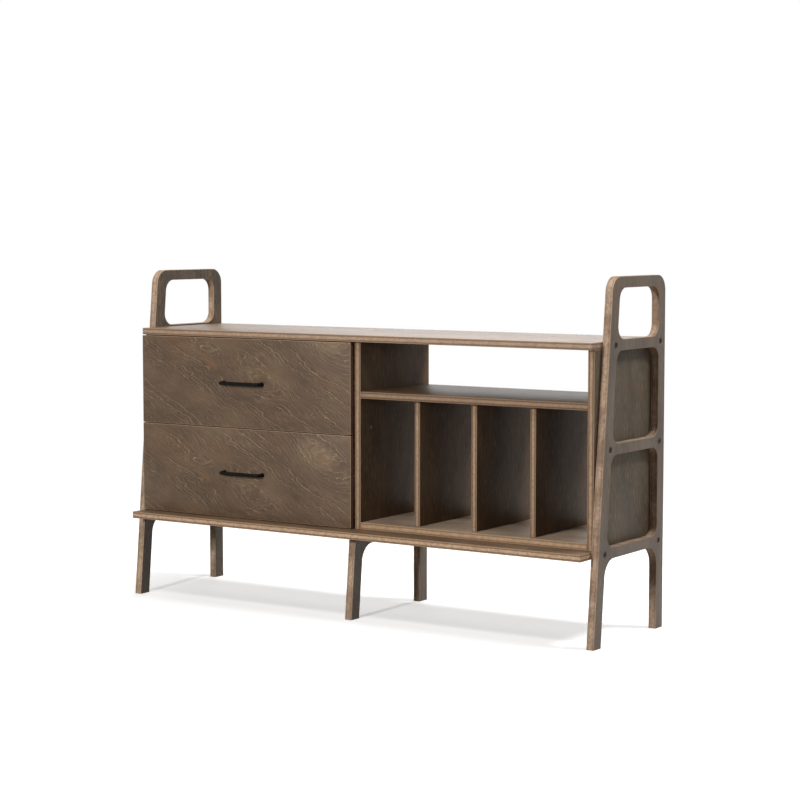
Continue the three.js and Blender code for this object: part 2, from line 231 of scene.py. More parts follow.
@dataclass(frozen=True)
class BirchPly(Finish):
    """Rotary-cut birch plywood, stained or clear, under a thin satin lacquer.

    The peeled face veneer crosses each growth ring at a shallow angle, so the eye sees fine pale contour
    lines that wander, close into ovals and fade out, each with a soft darker side. Edges show the stacked
    plies with flecks of end grain, and the arrises are paler than the faces: partly sanded wood, partly a
    painted highlight along the eased edge.
    """

    # From dark to light.
    face_shades: tuple[str, str, str]
    ring: str
    warm: str
    # From the core ply outward.
    ply_shades: tuple[str, str, str, str]
    ply_fleck: str
    # Pale arris colour: partly sanded wood, partly a painted highlight along the eased edge.
    arris: str
    ring_spacing_mm: float = 8.0
    ring_tilt_deg: float = 2.0
    ring_swell: float = 3.0
    ring_jitter: float = 0.8
    ring_strength: float = 0.3
    shade_strength: float = 0.25
    stroke_strength: float = 0.35
    stroke_length_mm: float = 24.0
    strokes_per_ring: float = 5.0
    fibre_strength: float = 0.3
    streak_strength: float = 0.5
    warm_strength: float = 0.3
    fleck_strength: float = 0.36
    soak_strength: float = 0.0
    ply_wobble: float = 0.14
    # How strongly the arris colour shows: sanded wood with a painted highlight.
    arris_highlight_strength: float = 0.5
    swirls: tuple[Swirl, ...] = ()
    swirl_core: float = 0.45
    roughness: tuple[float, float] = (0.42, 0.56)
    edge_roughness: float = 0.3
    specular: float = 0.3
    relief: float = 0.12
    relief_depth_mm: float = 0.3
    line_relief: float = 0.4

    def noises(self, tree: Tree, grain: Socket) -> dict[str, Socket]:
        """Adds the noise patterns of the wood.

        Args:
            tree: The material's node tree.
            grain: Place in the board: along and across the grain in millimetres, and depth as a share.

        Returns:
            The value of each pattern by its name.
        """
        # Sizes along and across the grain in millimetres, changes through the board, and detail.
        # Fibres are about 0.3 mm wide on real birch and are drawn four times as coarse, so that they show.
        sizes = {
            "blotch": (200.0, 95.0, 0.0, 5.0),
            "swell": (260.0, 110.0, 0.0, 4.0),
            "jitter": (24.0, 12.0, 0.0, 5.0),
            "fade": (120.0, 60.0, 0.0, 2.0),
            "fibre": (38.0, 1.2, 0.0, 3.0),
            "warm": (90.0, 55.0, 0.0, 2.0),
            "streak": (110.0, 6.0, 0.0, 3.0),
            "fleck": (8.0, 3.0, 3.0, 4.0),
            "soak": (55.0, 30.0, 0.6, 3.0),
        }
        made = {}
        for label, (along, across, through, detail) in sizes.items():
            share = {0: grain, 1: (1 / along, 1 / across, through)}
            spot = add_node(tree, "ShaderNodeVectorMath", share, operation="MULTIPLY").outputs[0]
            texture = {"Vector": spot, "Scale": 1.0, "Detail": detail}
            made[label] = add_node(tree, "ShaderNodeTexNoise", texture).outputs[0]
        return made

    def summed(self, tree: Tree, start: Value, terms: Sequence[tuple[Socket, float]]) -> Value:
        """Adds weighted values to a first one.

        Args:
            tree: The material's node tree.
            start: The first value.
            terms: Each further value and its weight.

        Returns:
            The sum.
        """
        total = start
        for value, weight in terms:
            if weight:
                parts = {0: value, 1: weight, 2: total}
                total = add_node(tree, "ShaderNodeMath", parts, operation="MULTIPLY_ADD").outputs[0]
        return total

    def rings(self, tree: Tree, grain: Socket, noise: dict[str, Socket]) -> tuple[Socket, list[Socket]]:
        """Counts the growth rings that the knife has cut through at each point of the veneer.

        Args:
            tree: The material's node tree.
            grain: Place in the board.
            noise: The noise patterns.

        Returns:
            The count, which changes by one from each pale line to the next, and the share of each swirl.
        """
        tilt, gap = math.tan(math.radians(self.ring_tilt_deg)), self.ring_spacing_mm
        slope = {0: grain, 1: (tilt / gap, 1 / gap, 0.0)}
        count = add_node(tree, "ShaderNodeVectorMath", slope, operation="DOT_PRODUCT").outputs[1]
        wander = [(noise["swell"], self.ring_swell), (noise["jitter"], self.ring_jitter)]
        count = self.summed(tree, count, wander)
        flat = {0: grain, 1: (1, 1, 0)}
        flat = add_node(tree, "ShaderNodeVectorMath", flat, operation="MULTIPLY").outputs[0]
        hills = []
        for swirl in self.swirls:
            spot = {
                "Vector": flat,
                "Location": (swirl.along_mm, swirl.across_mm, 0.0),
                "Rotation": (0.0, 0.0, math.radians(swirl.turn_deg)),
                "Scale": (swirl.half_length_mm, swirl.half_width_mm, 1.0),
            }
            oval = add_node(tree, "ShaderNodeMapping", spot, vector_type="TEXTURE").outputs[0]
            reach = add_node(tree, "ShaderNodeVectorMath", {0: oval}, operation="LENGTH").outputs[1]
            fall = {"Value": reach, "From Min": self.swirl_core, "To Min": 1.0, "To Max": 0.0}
            hill = add_node(tree, "ShaderNodeMapRange", fall, interpolation_type="SMOOTHSTEP").outputs[0]
            hills.append(hill)
            foot = (tilt * swirl.along_mm + swirl.across_mm) / gap + self.ring_swell / 2
            cone = {"Value": reach, "To Min": foot + swirl.rings, "To Max": foot}
            inside = add_node(tree, "ShaderNodeMapRange", cone, clamp=False).outputs[0]
            inside = self.summed(tree, inside, [(noise["jitter"], self.ring_jitter)])
            pushed = {0: hill, 1: swirl.hold}
            pushed = add_node(tree, "ShaderNodeMath", pushed, operation="MULTIPLY").outputs[0]
            count = add_node(tree, "ShaderNodeMix", {0: pushed, 2: count, 3: inside}).outputs[0]
        return count, hills

    def figure(self, tree: Tree, grain: Socket, noise: dict[str, Socket]) -> dict[str, Value]:
        """Works out how strongly each mark of the veneer shows.

        Args:
            tree: The material's node tree.
            grain: Place in the board.
            noise: The noise patterns.

        Returns:
            The share of each mark's colour by its name, and the bare line of each ring.
        """
        count, hills = self.rings(tree, grain, noise)
        number = add_node(tree, "ShaderNodeMath", {0: count}, operation="FLOOR").outputs[0]
        within = add_node(tree, "ShaderNodeMath", {0: count}, operation="FRACT").outputs[0]
        luck = add_node(tree, "ShaderNodeTexWhiteNoise", {"W": number}, noise_dimensions="1D")
        # Broken strokes that follow the rings, drawn coarser than the pores of real birch to show.
        along = add_node(tree, "ShaderNodeSeparateXYZ", {0: grain}).outputs[0]
        lane = add_node(tree, "ShaderNodeCombineXYZ", {0: along, 1: count}).outputs[0]
        lane = {0: lane, 1: (1 / self.stroke_length_mm, self.strokes_per_ring, 0.0)}
        lane = add_node(tree, "ShaderNodeVectorMath", lane, operation="MULTIPLY").outputs[0]
        stroke = {"Vector": lane, "Scale": 1.0, "Detail": 4.0}
        stroke = add_node(tree, "ShaderNodeTexNoise", stroke).outputs[0]

        # Each pattern's value, the span of it that shows, and the share of its colour at both ends.
        spans = {
            "luck": (luck.outputs["Value"], 0.2, 1.0, 0.12, 1.0),
            "bold": (noise["fade"], 0.36, 0.58, 0.3, 1.0),
            "blush": (noise["warm"], 0.52, 0.68, 0.0, self.warm_strength),
            "streak": (noise["streak"], 0.48, 0.68, 0.0, self.streak_strength),
            "fibre": (noise["fibre"], 0.48, 0.72, 0.0, self.fibre_strength),
            "pore": (stroke, 0.5, 0.3, 0.0, self.stroke_strength),
            "sheen": (stroke, 0.5, 0.7, 0.0, self.stroke_strength),
            "flank": (within, 0.5, 1.0, 0.0, self.shade_strength),
            "crest": (within, 0.0, 0.22, self.ring_strength, 0.0),
        }
        share = {}
        for label, (value, low, high, first, last) in spans.items():
            span = {"Value": value, "From Min": low, "From Max": high, "To Min": first, "To Max": last}
            share[label] = add_node(tree, "ShaderNodeMapRange", span).outputs[0]
        share["line"] = share["crest"]
        clear = {0: share["luck"], 1: share["bold"]}
        clear = add_node(tree, "ShaderNodeMath", clear, operation="MULTIPLY").outputs[0]
        ovals = list(zip(hills, self.swirls))
        clear = self.summed(tree, clear, [(hill, swirl.lines) for hill, swirl in ovals])
        limits = {"crest": clear, "flank": clear, "pore": share["bold"], "sheen": share["bold"]}
        for label, limit in limits.items():
            terms = {0: share[label], 1: limit}
            share[label] = add_node(tree, "ShaderNodeMath", terms, operation="MULTIPLY").outputs[0]
        share["blush"] = self.summed(tree, share["blush"], [(hill, swirl.blush) for hill, swirl in ovals])
        share["glow"] = self.summed(tree, 0.0, [(hill, swirl.glow) for hill, swirl in ovals])
        return share

    def plies(self, tree: Tree, grain: Socket, noise: dict[str, Socket]) -> Socket:
        """Draws the stacked plies that an edge shows.

        Args:
            tree: The material's node tree.
            grain: Place in the board.
            noise: The noise patterns.

        Returns:
            The colour of the edge.
        """
        depth = add_node(tree, "ShaderNodeSeparateXYZ", {0: grain}).outputs[2]
        centred = {"Value": depth, "From Min": 0.0, "From Max": 1.0, "To Min": -1.0, "To Max": 1.0}
        level = add_node(tree, "ShaderNodeMapRange", centred, clamp=False).outputs[0]
        level = add_node(tree, "ShaderNodeMath", {0: level}, operation="ABSOLUTE").outputs[0]
        level = self.summed(tree, level, [(noise["fleck"], self.ply_wobble)])
        level = {0: level, 1: self.ply_wobble / 2}
        level = add_node(tree, "ShaderNodeMath", level, operation="SUBTRACT").outputs[0]
        # Seven plies through every board: real ones are about 1.4 mm thick, these up to 3 mm to show.
        bands = list(zip(PLY_STOPS, self.ply_shades))
        stack = add_node(tree, "ShaderNodeValToRGB", {0: level}, stops=bands)
        stack.color_ramp.interpolation = "CONSTANT"
        colour = stack.outputs[0]
        low, high = SPOT_SPAN
        # End grain takes the stain in fine flecks, and unevenly in broad patches.
        for label, most in {"fleck": self.fleck_strength, "soak": self.soak_strength}.items():
            spots = {"Value": noise[label], "From Min": low, "From Max": high, "To Max": most}
            share = add_node(tree, "ShaderNodeMapRange", spots).outputs[0]
            mixed = {0: share, 6: colour, 7: linear(self.ply_fleck)}
            colour = add_node(tree, "ShaderNodeMix", mixed, data_type="RGBA").outputs[2]
        return colour

    def dress(self, tree: Tree) -> dict[str, Any]:
        """Draws the veneer on the faces, the plies on the edges and the pale arris between them.

        The arris colour is partly sanded wood and partly a painted highlight.

        Args:
            tree: The material's node tree.

        Returns:
            The shader's inputs.
        """
        grain = add_node(tree, "ShaderNodeAttribute", attribute_name="grain").outputs["Vector"]
        surface = add_node(tree, "ShaderNodeAttribute", attribute_name="edge").outputs["Fac"]
        noise = self.noises(tree, grain)
        share = self.figure(tree, grain, noise)
        shades = list(zip(FACE_STOPS, self.face_shades))
        colour = add_node(tree, "ShaderNodeValToRGB", {0: noise["blotch"]}, stops=shades).outputs[0]
        dark = self.face_shades[0]
        layers = {"blush": self.warm, "glow": self.ring, "streak": dark, "fibre": dark}
        layers |= {"pore": dark, "sheen": self.ring, "flank": dark, "crest": self.ring}
        for label, tint in layers.items():
            mixed = {0: share[label], 6: colour, 7: linear(tint)}
            colour = add_node(tree, "ShaderNodeMix", mixed, data_type="RGBA").outputs[2]
        # The edges take the plies; the arris takes a paler colour, partly sanded wood, partly painted
        # highlight.
        over = {
            Surface.EDGE: (self.plies(tree, grain, noise), 1.0),
            Surface.ARRIS: (linear(self.arris), self.arris_highlight_strength),
        }
        for kind, (tint, strength) in over.items():
            here = {0: surface, 1: kind.value, 2: SURFACE_SLACK}
            here = add_node(tree, "ShaderNodeMath", here, operation="COMPARE").outputs[0]
            plies_and_highlight_share = {0: here, 1: strength}
            plies_and_highlight_share = add_node(tree, "ShaderNodeMath", plies_and_highlight_share, operation="MULTIPLY").outputs[0]
            mixed = {0: plies_and_highlight_share, 6: colour, 7: tint}
            colour = add_node(tree, "ShaderNodeMix", mixed, data_type="RGBA").outputs[2]

        least, most = GLOSS_SPAN
        low, high = self.roughness
        gloss = {"Value": noise["fibre"], "From Min": least, "From Max": most, "To Min": low, "To Max": high}
        rough = add_node(tree, "ShaderNodeMapRange", gloss).outputs[0]
        height = self.summed(tree, noise["fibre"], [(share["line"], self.line_relief)])
        bump = {"Height": height, "Strength": self.relief, "Distance": self.relief_depth_mm * MM}
        return {
            "Base Color": colour,
            # Sanded edges soak up the lacquer and stay duller than the faces.
            "Roughness": self.summed(tree, rough, [(surface, self.edge_roughness)]),
            "Specular IOR Level": self.specular,
            "Normal": add_node(tree, "ShaderNodeBump", bump).outputs[0],
        }


@dataclass(frozen=True)
class MottledSkin(Finish):
    """A hard skin with fine mottling: powder coat, lacquer or zinc on steel, or moulded plastic.

    Powder coat gives a soft satin highlight broken by a slight orange peel; zinc plating gives a bright
    grey with faint cloudy spangle.
    """

    base: str
    cloud: str
    metallic: float
    roughness: tuple[float, float]
    skin_mm: float
    relief: float
    specular: float = 0.5
    skins_per_cloud: float = 8.0
    relief_depth_mm: float = 0.1

    def dress(self, tree: Tree) -> dict[str, Any]:
        """Draws the clouded colour, the uneven gloss and the relief of the skin.

        Args:
            tree: The material's node tree.

        Returns:
            The shader's inputs.
        """
        place = add_node(tree, "ShaderNodeTexCoord").outputs["Object"]
        broad = {"Vector": place, "Scale": 1 / (self.skins_per_cloud * self.skin_mm * MM), "Detail": 3.0}
        cloud = add_node(tree, "ShaderNodeTexNoise", broad).outputs[0]
        fine = {"Vector": place, "Scale": 1 / (self.skin_mm * MM), "Detail": 2.0}
        peel = add_node(tree, "ShaderNodeTexNoise", fine).outputs[0]
        shades = list(zip(CLOUD_STOPS, (self.base, self.cloud)))
        least, most = GLOSS_SPAN
        low, high = self.roughness
        gloss = {"Value": peel, "From Min": least, "From Max": most, "To Min": low, "To Max": high}
        bump = {"Height": peel, "Strength": self.relief, "Distance": self.relief_depth_mm * MM}
        return {
            "Base Color": add_node(tree, "ShaderNodeValToRGB", {0: cloud}, stops=shades).outputs[0],
            "Metallic": self.metallic,
            "Specular IOR Level": self.specular,
            "Roughness": add_node(tree, "ShaderNodeMapRange", gloss).outputs[0],
            "Normal": add_node(tree, "ShaderNodeBump", bump).outputs[0],
        }


# Matt stain: an even mid brown with faint pale rings, and paler plies on the edges.
MATT_PLY = BirchPly(
    "walnut_stained_birch_matt_board",
    Slot.STAINED_PLY,
    face_shades=("#4b3a2b", "#614d3a", "#705b45"),
    ring="#ab9271",
    warm="#7c573a",
    ply_shades=("#b3967c", "#aa8e75", "#765d48", "#927761"),
    ply_fleck="#735a44",
    arris="#b89a7d",
    specular=0.09,
)
# Thin satin lacquer: a soft sheen along the shelf, and an edge painted slightly darker as painted shade.
SHELF_PLY = replace(
    MATT_PLY,
    name="walnut_stained_birch_shelf_board",
    ply_shades=("#a1876f", "#998069", "#6b5441", "#846b57"),
    roughness=(0.38, 0.5),
    specular=0.14,
)
# Painted light: the same lacquer with paler faces and plies; the lip along the front reads as a light line.
BASE_PLY = replace(
    SHELF_PLY,
    name="walnut_stained_birch_base_board_painted_light",
    face_shades=("#534030", "#6b5540", "#7b644c"),
    ply_shades=("#ceae90", "#c4a588", "#886c54", "#aa8c72"),
)
# The fullest lacquer: seen along its length the top mirrors the pale room, over broad wandering rings.
TOP_PLY = replace(
    MATT_PLY,
    name="walnut_stained_birch_lacquered_top",
    ring_spacing_mm=14.0,
    ring_tilt_deg=3.0,
    ring_swell=7.0,
    ring_jitter=1.2,
    ring_strength=0.6,
    shade_strength=0.6,
    stroke_strength=0.4,
    roughness=(0.36, 0.48),
    specular=0.5,
)
# A greyer sheet with the grain upright, the grey partly painted sheen: fine broken streaks show in the
# frame's windows.
SIDE_PLY = replace(
    MATT_PLY,
    name="walnut_stained_birch_side_board",
    face_shades=("#42392d", "#584e40", "#655a4a"),
    ring="#938572",
    ring_strength=0.5,
    stroke_strength=0.6,
    specular=0.15,
)
# Grey-brown satin faces, whose grey is partly painted sheen; the sanded edges took the stain unevenly
# and are mottled along their length.
FRAME_PLY = replace(
    MATT_PLY,
    name="walnut_stained_birch_frame_panel",
    face_shades=("#4c4238", "#64584c", "#73665a"),
    ply_shades=("#b89e87", "#b69c85", "#a1876f", "#b49a83"),
    ply_fleck="#6b513f",
    fleck_strength=0.4,
    soak_strength=0.6,
    specular=0.3,
)
# The same panel with paler edges.
LEG_PLY = replace(
    FRAME_PLY,
    name="walnut_stained_birch_leg_panel",
    ply_shades=("#c5aa90", "#c3a88e", "#ad9279", "#c1a68c"),
    ply_fleck="#755c49",
)
# The paler edges again, on faces painted darker: painted shade on the left frame.
PAINTED_SHADE_FRAME_PLY = replace(
    LEG_PLY,
    name="walnut_stained_birch_frame_panel_painted_shade",
    face_shades=("#352d26", "#463e35", "#534940"),
    specular=0.26,
)
# Painted light: the floor of the record slots is a lighter copy of the stain, a pale greyish tan.
FLOOR_PLY = replace(
    MATT_PLY,
    name="walnut_stained_birch_floor_painted_light",
    face_shades=("#786757", "#96836f", "#a9957f"),
    ply_shades=("#bd9e7e", "#b59676", "#8c6e51", "#a08060"),
    specular=0.4,
)
# Show veneer of the drawer fronts: bold pale contour lines on a slant, with ovals and a warm patch.
FRONT_VENEER = replace(
    MATT_PLY,
    name="walnut_stained_birch_front_veneer",
    face_shades=("#493829", "#5a4736", "#6a5641"),
    ring="#a68f72",
    ply_shades=("#7a5642", "#72503c", "#523625", "#674530"),
    ply_fleck="#513523",
    ring_spacing_mm=9.0,
    ring_tilt_deg=30.0,
    ring_swell=9.0,
    ring_jitter=2.0,
    ring_strength=1.0,
    shade_strength=0.9,
    stroke_strength=0.38,
    fibre_strength=0.12,
    streak_strength=0.12,
    warm_strength=0.2,
    # The fronts' arrises carry the strongest painted highlight of all the boards.
    arris_highlight_strength=0.75,
    specular=0.3,
    swirls=(
        Swirl(130.0, 236.0, 110.0, 64.0, 3.0, -20.0, 0.3, blush=0.2),
        Swirl(352.0, 168.0, 120.0, 50.0, 4.0, -4.0, 0.55),
        Swirl(405.0, 112.0, 120.0, 60.0, 7.0, -8.0, 0.6),
        Swirl(626.0, 240.0, 190.0, 84.0, 8.0, -36.0, 0.58),
        Swirl(618.0, 250.0, 80.0, 48.0, 2.0, -24.0, 0.1, blush=0.12, glow=0.22),
        Swirl(103.0, 39.0, 90.0, 40.0, 3.0, hold=0.2),
        Swirl(622.0, 41.0, 90.0, 40.0, 3.0, hold=0.2),
        Swirl(239.0, 171.0, 42.0, 17.0, 0.0, -32.0, 0.0, blush=0.45),
        Swirl(224.0, 210.0, 74.0, 27.0, 3.0, -6.0, 0.9),
    ),
)
# Unstained birch under clear lacquer: cream faces with darker cross plies, inside the drawers.
CLEAR_PLY = BirchPly(
    "clear_lacquered_birch_plywood",
    Slot.CLEAR_PLY,
    face_shades=("#b89a70", "#cbb08a", "#d8c19d"),
    ring="#e2cfae",
    warm="#c49a6c",
    ply_shades=("#dcc59f", "#d3ba92", "#a98559", "#cfb48c"),
    ply_fleck="#a98559",
    arris="#dcc8a6",
    ring_spacing_mm=12.0,
    ring_swell=9.0,
    ring_strength=0.5,
    shade_strength=0.5,
)
# Matt black powder coat: the handles stay dark, with only a faint line of light along the bar.
BLACK_STEEL = MottledSkin(
    "black_powder_coated_steel", Slot.BLACK_STEEL, "#0a0908", "#100f0d", 0.0, (0.5, 0.6), 0.6, 0.12, 0.07
)
# Brown-black lacquer on the bolts: a dark disc whose rim and socket just catch the light.
BOLT_STEEL = MottledSkin(
    "black_lacquered_bolt_steel", Slot.BLACK_STEEL, "#171412", "#231f1b", 0.0, (0.45, 0.6), 0.6, 0.1, 0.15
)
# Bright zinc on rolled steel: a cool grey metal with faint clouds, for slides and screws.
ZINC_STEEL = MottledSkin(
    "zinc_plated_steel", Slot.ZINC_STEEL, "#a9adb2", "#c6c9cc", 1.0, (0.28, 0.42), 1.2, 0.06
)
# Moulded plastic: a small grey-brown dot with an even satin skin.
CAP_PLASTIC = MottledSkin(
    "moulded_grey_cap_plastic", Slot.CAP_PLASTIC, "#47423c", "#59534c", 0.0, (0.45, 0.55), 0.5, 0.1
)


def rounded(corners: Sequence[Corner]) -> Outline:
    """Rounds the corners of a closed outline with fine arcs.

    Args:
        corners: Across, up and radius of each corner in millimetres, anticlockwise.

    Returns:
        The points of the outline in millimetres.
    """
    points: Outline = []
    for index, (across, up, radius) in enumerate(corners):
        corner = Vector((across, up))
        before = (Vector(corners[index - 1][:2]) - corner).normalized()
        after = (Vector(corners[(index + 1) % len(corners)][:2]) - corner).normalized()
        if radius == 0:
            points.append((across, up))
            continue
        half = before.angle(after) / 2
        centre = corner + (before + after).normalized() * (radius / math.sin(half))
        start = corner + before * (radius / math.tan(half)) - centre
        end = corner + after * (radius / math.tan(half)) - centre
        turn = math.atan2(start.x * end.y - start.y * end.x, start.dot(end))
        steps = max(LEAST_ARC_STEPS, round(abs(turn) / ARC_STEP))
        for step in range(steps + 1):
            spin = Matrix.Rotation(turn * step / steps, 2)
            points.append(tuple(centre + spin @ start))
    return points


def circle(across: float, up: float, diameter: float, sides: int = 40) -> Outline:
    """Draws a round hole.

    Args:
        across: Centre across, in millimetres.
        up: Centre up, in millimetres.
        diameter: Diameter in millimetres.
        sides: Points round the circle.

    Returns:
        The points of the circle in millimetres.
    """
    angles = [2 * math.pi * side / sides for side in range(sides)]
    return [(across + diameter / 2 * math.cos(a), up + diameter / 2 * math.sin(a)) for a in angles]


def finished(work: bmesh.types.BMesh, name: str) -> Mesh:
    """Turns a worked shape into a mesh with its faces looking outward.

    Args:
        work: The shape, which is given up.
        name: Name of the mesh.

    Returns:
        The mesh.
    """
    bmesh.ops.recalc_face_normals(work, faces=work.faces)
    mesh = bpy.data.meshes.new(name)
    work.to_mesh(mesh)
    work.free()
    return mesh


def plate(name: str, outlines: Sequence[Outline], left: float, thickness: float, arris: float) -> Mesh:
    """Cuts a panel that stands across the length from its side view, with holes and eased arrises.

    Args:
        name: Name of the mesh.
        outlines: The outer outline and the holes, as depth and height in millimetres.
        left: Where the panel starts along the length, in millimetres.
        thickness: Thickness in millimetres.
        arris: Radius of the eased arrises in millimetres.

    Returns:
        The mesh, in metres in the shared frame.
    """
    curve = bpy.data.curves.new(name, "CURVE")
    curve.dimensions = "2D"
    curve.fill_mode = "BOTH"
    curve.extrude = (thickness / 2 - arris) * MM
    curve.bevel_depth = arris * MM
    curve.bevel_resolution = ARRIS_STEPS - 1
    curve.offset = -arris * MM
    for points in outlines:
        spline = curve.splines.new("POLY")
        spline.points.add(len(points) - 1)
        for spot, (across, up) in zip(spline.points, points):
            spot.co = (across * MM, up * MM, 0.0, 1.0)
        spline.use_cyclic_u = True
    holder = bpy.data.objects.new(name, curve)
    flat = bpy.data.meshes.new_from_object(holder)
    bpy.data.objects.remove(holder)
    bpy.data.curves.remove(curve)
    middle = (left + thickness / 2) * MM
    flat.transform(Matrix(((0, 0, 1, middle), (1, 0, 0, 0), (0, 1, 0, 0), (0, 0, 0, 1))))
    work = bmesh.new()
    work.from_mesh(flat)
    bpy.data.meshes.remove(flat)
    bmesh.ops.remove_doubles(work, verts=work.verts, dist=WELD)
    return finished(work, name)


def prism(name: str, section: Outline, axis: Axis, start: float, end: float, arris: float) -> Mesh:
    """Runs a section along an axis and eases its outer arrises.

    Args:
        name: Name of the mesh.
        section: Points in millimetres, on the two other axes in the order X, Y, Z.
        axis: The axis along which the section runs.
        start: Where the run starts, in millimetres.
        end: Where the run ends, in millimetres.
        arris: Radius of the eased arrises in millimetres.

    Returns:
        The mesh, in metres in the shared frame.
    """
    work = bmesh.new()
    corners = []
    for first, second in section:
        place = [first, second]
        place.insert(axis.value, start)
        corners.append(work.verts.new(Vector(place) * MM))
    end_face = work.faces.new(corners)
    grown = bmesh.ops.extrude_face_region(work, geom=[end_face])["geom"]
    run = Vector([end - start if index == axis.value else 0.0 for index in range(3)]) * MM
    moved = [item for item in grown if isinstance(item, bmesh.types.BMVert)]
    bmesh.ops.translate(work, vec=run, verts=moved)
    bmesh.ops.recalc_face_normals(work, faces=work.faces)
    sharp = [line for line in work.edges if line.calc_face_angle_signed() > SHARP_ANGLE]
    easing = {"offset": arris * MM, "offset_type": "OFFSET", "segments": ARRIS_STEPS, "profile": 0.5}
    bmesh.ops.bevel(work, geom=sharp, affect="EDGES", **easing)
    return finished(work, name)


def mark_grain(mesh: Mesh, grain: Axis, through: Axis, shift: tuple[float, float]) -> None:
    """Writes where each point lies in its board, and which faces are veneer, arris or edge.

    Args:
        mesh: The board's mesh.
        grain: The axis that the face grain follows.
        through: The axis through the board's thickness.
        shift: Millimetres along and across the grain by which this board's figure is moved.
    """
    across = next(axis for axis in Axis if axis not in (grain, through))
    low = min(vertex.co[through.value] for vertex in mesh.vertices)
    high = max(vertex.co[through.value] for vertex in mesh.vertices)
    places = mesh.attributes.new("grain", "FLOAT_VECTOR", "POINT")
    for vertex, place in zip(mesh.vertices, places.data):
        along_mm = vertex.co[grain.value] / MM + shift[0]
        across_mm = vertex.co[across.value] / MM + shift[1]
        place.vector = (along_mm, across_mm, (vertex.co[through.value] - low) / (high - low))
    edges = mesh.attributes.new("edge", "FLOAT", "FACE")
    beside: dict[tuple[int, int], list[bpy.types.MeshPolygon]] = {}
    for face, edge in zip(mesh.polygons, edges.data):
        facing = abs(face.normal[through.value])
        flat = Surface.VENEER if facing > VENEER_FACING else Surface.ARRIS
        edge.value = (Surface.EDGE if facing < EDGE_FACING else flat).value
        face.use_smooth = True
        for key in face.edge_keys:
            beside.setdefault(key, []).append(face)
    sharp = mesh.attributes.new("sharp_edge", "BOOLEAN", "EDGE")
    for line, mark in zip(mesh.edges, sharp.data):
        near, far = beside[line.key]
        differ = edges.data[near.index].value != edges.data[far.index].value
        mark.value = differ or near.normal.angle(far.normal) > SMOOTH_ANGLE


def skinned(name: str, loops: Sequence[Sequence[Vector]]) -> Mesh:
    """Joins rings of points into a smooth skin with flat ends.

    Args:
        name: Name of the mesh.
        loops: Rings in millimetres from end to end, each with the same number of points.

    Returns:
        The mesh, in metres in the shared frame.
    """
    work = bmesh.new()
    rows = [[work.verts.new(point * MM) for point in loop] for loop in loops]
    for near, far in zip(rows, rows[1:]):
        for side in range(len(near)):
            after = (side + 1) % len(near)
            work.faces.new((near[side], near[after], far[after], far[side])).smooth = True
    work.faces.new(reversed(rows[0]))
    work.faces.new(rows[-1])
    return finished(work, name)


def turned(name: str, rings: Sequence[Ring], origin: Vector, direction: Vector, sides: int = 48) -> Mesh:
    """Turns a fastener from rings, each round or with six flats.

    Args:
        name: Name of the mesh.
        rings: Radius (or half the width across flats), distance along the axis and whether it has flats.
        origin: Start of the axis in millimetres.
        direction: Direction of the axis.
        sides: Points round each ring.

    Returns:
        The mesh, in metres in the shared frame.
    """
    turn = direction.to_track_quat("Z", "Y")
    sector = math.radians(60)
    loops = []
    for radius, along, flats in rings:
        loop = []
        for side in range(sides):
            angle = 2 * math.pi * side / sides
            reach = radius / math.cos((angle + sector / 2) % sector - sector / 2) if flats else radius
            spot = Vector((reach * math.cos(angle), reach * math.sin(angle), along))
            loop.append(origin + turn @ spot)
        loops.append(loop)
    return skinned(name, loops)


def swept(name: str, path: Sequence[Vector], radii: Sequence[float], sides: int = 28) -> Mesh:
    """Sweeps a round bar along a level path.

    Args:
        name: Name of the mesh.
        path: Points of the bar's centre line in millimetres, all at one height.
        radii: Radius at each point in millimetres.
        sides: Points round the bar.

    Returns:
        The mesh, in metres in the shared frame.
    """
    angles = [2 * math.pi * side / sides for side in range(sides)]
    loops = []
    for index, (point, radius) in enumerate(zip(path, radii)):
        ahead = path[min(index + 1, len(path) - 1)] - path[max(index - 1, 0)]
        side_way = ahead.cross(UP).normalized()
        loops.append([point + radius * (math.cos(a) * side_way + math.sin(a) * UP) for a in angles])
    return skinned(name, loops)


def node_box(node: str) -> tuple[Vector, Vector]:
    """Gives a node's lowest and highest corners at rest, in millimetres."""
    low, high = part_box(node)
    return low / MM, high / MM


def add_object(name: str, data: bpy.types.ID) -> bpy.types.Object:
    """Puts a mesh, lamp or camera in the scene.

    Args:
        name: Name of the object.
        data: What it shows.

    Returns:
        The new object.
    """
    made = bpy.data.objects.new(name, data)
    bpy.context.scene.collection.objects.link(made)
    return made


@dataclass
class Assembly:
    """A group of pieces that rides on one body of the frame."""

    body: str

    def place(self, node: str, mesh: Mesh, finish: Finish) -> None:
        """Puts a finished mesh in the place of a node.

        Args:
            node: The node that the mesh stands for.
            mesh: The mesh, in metres in the shared frame.
            finish: Its finish.
        """
        piece = add_object(f"{node}_piece", mesh)
        mesh.materials.append(finish.material())
        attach(piece, self.body)
        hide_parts(node)
        log.info("built %s with %d faces", piece.name, len(mesh.polygons))

    def board(
        self,
        node: str,
        grain: Axis,
        through: Axis,
        finish: Finish,
        shift: tuple[float, float],
        arris: float = 1.0,
    ) -> None:
        """Builds a plain board in the box of its node.

        Args:
            node: The node that the board stands for.
            grain: The axis that the face grain follows.
            through: The axis through the thickness.
            finish: The board's finish.
            shift: Millimetres by which its figure is moved along and across the grain.
            arris: Radius of the eased arrises in millimetres.
        """
        low, high = node_box(node)
        section = [(low.y, low.z), (high.y, low.z), (high.y, high.z), (low.y, high.z)]
        mesh = prism(node, section, Axis.X, low.x, high.x, arris)
        mark_grain(mesh, grain, through, shift)
        self.place(node, mesh, finish)

    def keep(self, node: str, finish: Finish) -> None:
        """Keeps a node whose shape is right and gives it a finish.

        Args:
            node: The node.
            finish: Its finish.
        """
        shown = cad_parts[node]
        shown.data.materials.clear()
        shown.data.materials.append(finish.material())
        log.info("kept %s in %s", node, finish.name)


